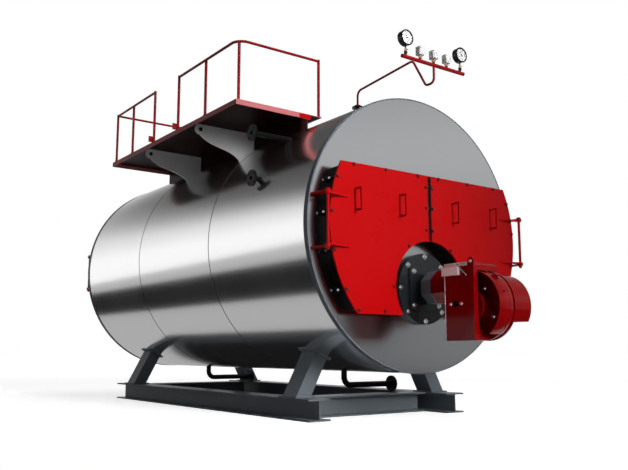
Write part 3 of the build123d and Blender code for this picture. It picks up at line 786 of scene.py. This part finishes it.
# sheet band that carries the drum's rim on to the casing, cut at the foot's top and at the casing's face
fanBand = {"reach": 0.112, "lap": 0.034, "under": 0.0005, "sheet": 0.008, "sides": 128, "footTop": 0.048,
           "back": 0.0735, "rolled": 3, "rolledSteps": 2}
bandRadius = (fanHigh.z - fanLow.z) / 2 - fanBand["under"]
bandLow, bandHigh = drumFace - fanBand["reach"], drumFace + fanBand["lap"]
bandMiddle = (bandLow + bandHigh) / 2


def makeFanBand():
    size = fanBand
    bpy.ops.mesh.primitive_cylinder_add(vertices=size["sides"], radius=bandRadius, depth=bandHigh - bandLow,
                                        end_fill_type="NOTHING")
    band = startPiece("burner_fan_band")
    band.data.transform(Matrix.Translation((bandMiddle, fanY, fanZ)) @ Matrix.Rotation(math.pi / 2, 4, "Y"))
    startEdit()
    bpy.ops.mesh.bisect(plane_co=(0, 0, casingLow.z + size["footTop"]), plane_no=toTop, clear_inner=True)
    bpy.ops.mesh.select_all(action="SELECT")
    bpy.ops.mesh.bisect(plane_co=(0, fanY + size["back"], 0), plane_no=toRear, clear_outer=True)
    endEdit()
    band.modifiers.new("sheet", "SOLIDIFY").thickness = size["sheet"]
    edge = band.modifiers.new("rolled", "BEVEL")
    edge.width, edge.segments = size["sheet"] / size["rolled"], size["rolledSteps"]
    for step in ("sheet", "rolled"):
        bpy.ops.object.modifier_apply(modifier=step)
    dress(band, finishes["burner_red"], "boiler")


# screws and a boss on the band
bandFittings = {"angles": (22, 72, 320), "screw": (0.02, 0.009, 1.6), "bossAngle": 52, "boss": 0.03,
                "bossSteps": ((0, 0.012), (0.008, 0.014), (0.004, 0.004))}


def onBand(angle):
    ahead, up = onCircle(1, angle)
    return (bandMiddle, fanY - bandRadius * ahead, fanZ + bandRadius * up), (0, -ahead, up)


def makeBandFittings():
    size = bandFittings
    screw = hexBolt("drumScrew", *size["screw"])
    screws = placeCopies(screw, "burner_drum_screws", [onBand(angle) for angle in size["angles"]])
    dress(screws, boltRed, "boiler")
    boss = turnedPiece("drumBoss", size["boss"], size["bossSteps"])
    placed = placeCopies(boss, "burner_drum_boss", [onBand(size["bossAngle"])])
    dress(placed, finishes["burner_red"], "boiler")
    for master in (screw, boss):
        bpy.data.objects.remove(master)


# the damper's linkage on the casing: bright rods between ball ends
linkage = {"left": -0.166, "rod": 0.0045, "ball": 0.008, "sides": 16, "rings": 10,
           "joints": ((0.578, 1.253), (0.679, 1.164), (0.66, 1.253))}


def makeLinkage():
    size = linkage
    points = [Vector(outFront(size["left"], out, z)) for out, z in size["joints"]]
    pieces = []
    for end in points[1:]:
        along = end - points[0]
        bpy.ops.mesh.primitive_cylinder_add(vertices=size["sides"], radius=size["rod"], depth=along.length)
        rod = startPiece("linkRod")
        turn = along.to_track_quat("Z", "Y").to_matrix().to_4x4()
        rod.data.transform(Matrix.Translation((points[0] + end) / 2) @ turn)
        pieces.append(rod)
    for point in points:
        bpy.ops.mesh.primitive_uv_sphere_add(segments=size["sides"], ring_count=size["rings"],
                                             radius=size["ball"])
        ball = startPiece("linkBall")
        ball.data.transform(Matrix.Translation(point))
        pieces.append(ball)
    dress(joinPieces(pieces, "burner_linkage"), brightSteel, "boiler")


# a pale angle at the lid's corner: a sheet along the top, which is a real plate, and a trim down the casing's
# edge, which is a painted highlight of that edge; the pale pink of both is a painted highlight on the red
# paint
cornerAngleAndHighlight = {"near": 0.437, "far": 0.69, "low": 1.236, "high": 1.266, "sheet": 0.004, "trim": 0.008,
               "bevel": 4, "bevelSteps": 2}


def makeCornerAngleAndHighlight():
    size = cornerAngleAndHighlight
    near, low, sheet = size["near"], size["low"], size["sheet"]
    sheets = []
    for far, bottom, top in ((size["far"], low, size["high"]), (near + size["trim"], casingLow.z, low)):
        middle = outFront(casingSide - sheet / 2, (near + far) / 2, (bottom + top) / 2)
        sheets.append(boxPiece("cornerSheet", middle, (sheet, far - near, top - bottom)))
        startEdit()
        bpy.ops.mesh.bevel(offset=sheet / size["bevel"], segments=size["bevelSteps"])
        endEdit()
    dress(joinPieces(sheets, "burner_corner_angle_and_highlight"), paleHighlightFinish, "boiler")


# black edging on the doors where they meet
doorEdging = {"width": 0.012, "proud": 0.002, "margin": 0.006}


def makeDoorEdging():
    size = doorEdging
    for end, outward in (("front", -1), ("rear", 1)):
        for hand, away in (("left", -1), ("right", 1)):
            body = f"{end}_{hand}_door"
            low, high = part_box(body)
            inner = high.x if hand == "left" else low.x
            face = low.y if end == "front" else high.y
            bottom = burnerHeight + smokeBox["cut"] * shellRadius if end == "front" else low.z
            bottom, top = bottom + size["margin"], high.z - size["margin"]
            middle = (inner + away * size["width"] / 2, face + outward * size["proud"] / 2,
                      (bottom + top) / 2)
            strip = boxPiece(f"{body}_edging", middle, (size["width"], size["proud"], top - bottom))
            dress(strip, finishes["black_paint"], body)


makeFlangeBolts()
makeCasingPort()
makeFanBolts()
makeFanBand()
makeBandFittings()
makeLinkage()
makeCornerAngleAndHighlight()
makeDoorEdging()
print("burner fittings and door edging made")


# gauges: a white dial with ticks and a needle in each case, and a rim round it
gaugeCase = {"radius": 0.068, "recess": 0.008}
gaugeDial = {"radius": 0.0585, "steps": ((0, 0.001), (0.001, 0.0004)), "sides": 48}
gaugeTicks = {"count": 21, "every": 5, "first": 225, "sweep": 270, "size": (0.006, 0.0013), "margin": 0.006,
              "long": 1.5, "short": 0.9, "out": 0.0018}
gaugeNeedle = {"size": (0.0045, 0.0297), "shift": 0.009, "reading": 12, "out": 0.003,
               "hub": 0.006, "hubSteps": ((0, 0.003), (0.002, 0.001)), "hubSides": 16, "hubOut": 0.0014}
gaugeRim = {"over": 0.002, "sides": 48, "hole": 0.004, "back": 0.0145,
            "steps": ((0, 0.014), (0.003, 0.003), (0.005, 0), (0.002, -0.004), (0.0005, -0.006))}
gaugeLow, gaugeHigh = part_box("pressure_gauges")
gaugeXs = (gaugeLow.x + gaugeCase["radius"], gaugeHigh.x - gaugeCase["radius"])
gaugeZ = gaugeHigh.z - gaugeCase["radius"]


# flat marks drawn on the ground and set upright on a dial
def makeDialMarks(x, recess):
    marks = []
    size = gaugeTicks
    for step in range(size["count"]):
        longer = size["long"] if step % size["every"] == 0 else size["short"]
        length, width = (longer * part for part in size["size"])
        bpy.ops.mesh.primitive_plane_add(size=1)
        mark = startPiece("dialTick")
        mark.data.transform(Matrix.Diagonal((length, width, 1, 1)))
        mark.data.transform(Matrix.Translation((gaugeDial["radius"] - size["margin"] - length / 2, 0, 0)))
        turn = math.radians(size["first"] - size["sweep"] * step / (size["count"] - 1))
        mark.data.transform(Matrix.Rotation(turn, 4, "Z"))
        mark.data.transform(Matrix.Translation((x, recess - size["out"], gaugeZ)) @ faceFront)
        marks.append(mark)
    size = gaugeNeedle
    bpy.ops.mesh.primitive_circle_add(vertices=3, radius=1, fill_type="NGON")
    needle = startPiece("dialNeedle")
    needle.data.transform(Matrix.Diagonal((*size["size"], 1, 1)))
    needle.data.transform(Matrix.Translation((0, size["shift"], 0)))
    needle.data.transform(Matrix.Rotation(math.radians(size["reading"]), 4, "Z"))
    needle.data.transform(Matrix.Translation((x, recess - size["out"], gaugeZ)) @ faceFront)
    hub = turnedPiece("dialHub", size["hub"], size["hubSteps"], size["hubSides"])
    marks += [needle, placeCopies(hub, "dialHubSet", [((x, recess - size["hubOut"], gaugeZ), toFront)])]
    bpy.data.objects.remove(hub)
    return marks


def makeGauges():
    recess = gaugeLow.y + gaugeCase["recess"]
    for number, x in enumerate(gaugeXs, 1):
        master = turnedPiece("dialFace", gaugeDial["radius"], gaugeDial["steps"], gaugeDial["sides"])
        dial = placeCopies(master, f"gauge_dial_{number}", [((x, recess, gaugeZ), toFront)])
        bpy.data.objects.remove(master)
        dress(dial, dialWhite, "boiler")
        marks = joinPieces(makeDialMarks(x, recess), f"gauge_marks_{number}")
        dress(marks, inkBlack, "boiler")
    rim = turnedPiece("gaugeRim", gaugeCase["radius"] + gaugeRim["over"], gaugeRim["steps"],
                      gaugeRim["sides"])
    cutFaces(rim, lambda face: face.area > gaugeRim["hole"])
    places = [((x, gaugeLow.y + gaugeRim["back"], gaugeZ), toFront) for x in gaugeXs]
    dress(placeCopies(rim, "gauge_rims", places), finishes["gauge_black"], "boiler")
    bpy.data.objects.remove(rim)


# a brass cock round each gauge's stem, with a small lever to the side; the steps are shares of its height
gaugeCocks = {"stem": 0.14, "nut": 0.016, "body": 0.0125, "sides": 20,
              "steps": ((0, 0.3), (0.003, 0.1), (-0.004, 0.25), (0.004, 0.1), (-0.003, 0.25)),
              "lever": 0.004, "leverSteps": ((0, 0.03), (0.001, 0.001)), "leverSides": 12, "leverAt": 0.52}


def makeGaugeCocks():
    size = gaugeCocks
    height = size["stem"] - size["nut"] - gaugeCase["radius"]
    bottom = gaugeZ - size["stem"] + size["nut"]
    middle = (gaugeLow.y + gaugeHigh.y) / 2
    steps = [(inward, height * share) for inward, share in size["steps"]]
    cock = turnedPiece("gaugeCock", size["body"], steps, size["sides"])
    cocks = placeCopies(cock, "cockBodies", [((x, middle, bottom), toTop) for x in gaugeXs])
    lever = turnedPiece("cockLever", size["lever"], size["leverSteps"], size["leverSides"])
    leverZ = bottom + height * size["leverAt"]
    levers = placeCopies(lever, "cockLevers", [((x, middle, leverZ), toRight) for x in gaugeXs])
    dress(joinPieces([cocks, levers], "gauge_cocks"), brassFinish, "boiler")
    for master in (cock, lever):
        bpy.data.objects.remove(master)


# switches: a raised cover on the front and a brass nut below each box
switchFittings = {"count": 3, "width": 0.062, "neck": 0.026, "gap": 0.0003, "coverMargin": (0.01, 0.012),
                  "coverSteps": ((0, 0.005), (0.003, 0.002), (0.012, -0.003)),
                  "nut": 0.019, "nutSteps": ((0, 0.010), (0.002, 0.002), (0.003, 0.008)), "nutRise": 0.003}


def makeSwitches():
    size = switchFittings
    low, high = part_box("pressure_switches")
    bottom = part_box("gauge_header")[1].z + size["gap"]
    width, neck = size["width"], size["neck"]
    acrossMargin, upMargin = size["coverMargin"]
    covers, nuts = [], []
    for index in range(size["count"]):
        x = low.x + width / 2 + index * (high.x - low.x - width) / (size["count"] - 1)
        covers.append(platePiece("switchCover", width - acrossMargin, high.z - bottom - neck - upMargin,
                                 size["coverSteps"], (x, low.y, (bottom + neck + high.z) / 2)))
        nut = turnedPiece("switchNut", size["nut"], size["nutSteps"], boltForm["headSides"])
        nut.data.transform(Matrix.Translation((x, (low.y + high.y) / 2, bottom + size["nutRise"])))
        nuts.append(nut)
    dress(joinPieces(covers, "switch_covers"), finishes["silver_box"], "boiler")
    dress(joinPieces(nuts, "switch_nuts"), brassFinish, "boiler")


makeGauges()
makeGaugeCocks()
makeSwitches()
print("gauges made")


# weld collars round the feet of the platform's posts, one of them in the middle of the front rail's bend
deckLow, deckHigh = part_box("platform_deck")
postWelds = {"edge": 0.022, "rearEdge": 0.064, "bays": 5, "firstPost": 0.045, "bend": 0.110,
             "innerPost": -0.440, "weld": 0.021, "weldSteps": ((0, 0.006), (0.003, 0.006), (0.0025, 0.004))}


def makePostWelds():
    size = postWelds
    postX, frontY = deckLow.x + size["edge"], deckLow.y + size["edge"]
    rearY = deckHigh.y - size["rearEdge"]
    bay = (deckHigh.y - deckLow.y) / size["bays"]
    corner = size["bend"] * (1 - math.cos(math.radians(45)))
    spots = [(postX, deckLow.y + size["firstPost"] + bay * index) for index in range(1, size["bays"])]
    spots += [(postX + corner, frontY + corner), (deckHigh.x - size["edge"], frontY), (postX, rearY),
              (size["innerPost"], rearY)]
    weld = turnedPiece("postFoot", size["weld"], size["weldSteps"])
    places = [((x, y, deckHigh.z), toTop) for x, y in spots]
    dress(placeCopies(weld, "post_foot_welds", places), finishes["rail_red"], "boiler")
    bpy.data.objects.remove(weld)


# a bolt on each gusset
bracketBolts = {"bolt": (0.03, 0.015), "gusset": 0.012, "inward": 0.06, "down": 0.052}


def makeBracketBolts():
    size = bracketBolts
    low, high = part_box("platform_gussets")
    bolt = hexBolt("bracketBolt", *size["bolt"])
    places = [((low.x + size["inward"], y, high.z - size["down"]), toFront)
              for y in (low.y, high.y - size["gusset"])]
    dress(placeCopies(bolt, "bracket_bolts", places), finishes["black_paint"], "boiler")
    bpy.data.objects.remove(bolt)


# the end plate of the deck's front edge
fasciaEnd = {"left": -0.61, "right": -0.474, "height": 0.05, "trim": 0.004, "steps": ((0, 0.003), (0.001, 0))}


def makeFasciaEnd():
    size = fasciaEnd
    left, right, height = size["left"], size["right"], size["height"]
    plate = platePiece("fascia_end_plate", right - left, height - size["trim"], size["steps"],
                       ((left + right) / 2, deckLow.y, deckHigh.z - height / 2))
    dress(plate, finishes["door_red"], "boiler")


# expanded tube ends round the holes of both tube sheets
tubeEnds = {"bore": 0.0768, "lip": 0.006, "edge": 0.003, "proud": 0.005, "shares": (0.6, 0.4, -1.6),
            "sides": 20, "pitch": 0.168, "rowTurn": 60, "margin": 0.1208, "rows": 7, "columns": 6}


def makeTubeEnds():
    size = tubeEnds
    edge, pitch, margin = size["edge"], size["pitch"], size["margin"]
    steps = [(inward, size["proud"] * share) for inward, share in zip((0, edge, edge), size["shares"])]
    ring = turnedPiece("tubeEnd", size["bore"] / 2 + size["lip"], steps, size["sides"])
    cutFaces(ring, lambda face: len(face.vertices) == size["sides"])
    boxRadius, boxTop, cut = (smokeBox[part] * shellRadius for part in ("radius", "top", "cut"))
    drop = axisHeight - burnerHeight
    for end, spot, facing in bothEnds:
        sheetLow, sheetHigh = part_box(f"{end}_tube_sheet")
        out = frontFace - sheetLow.y if end == "front" else sheetHigh.y - rearFace
        places = []
        for row in range(size["rows"]):
            height = boxTop - margin - row * pitch * math.sin(math.radians(size["rowTurn"]))
            for column in range(-size["columns"], size["columns"] + 1):
                across = (column + (row % 2) / 2) * pitch
                inside = math.hypot(across, height) < boxRadius - margin
                if inside and math.hypot(across, height + drop) > cut + margin:
                    places.append((spot(across, out, axisHeight + height), facing))
        dress(placeCopies(ring, f"{end}_tube_ends", places), brightSteel, "boiler")
    bpy.data.objects.remove(ring)


makePostWelds()
makeBracketBolts()
makeFasciaEnd()
makeTubeEnds()
print("platform and tube sheets made")
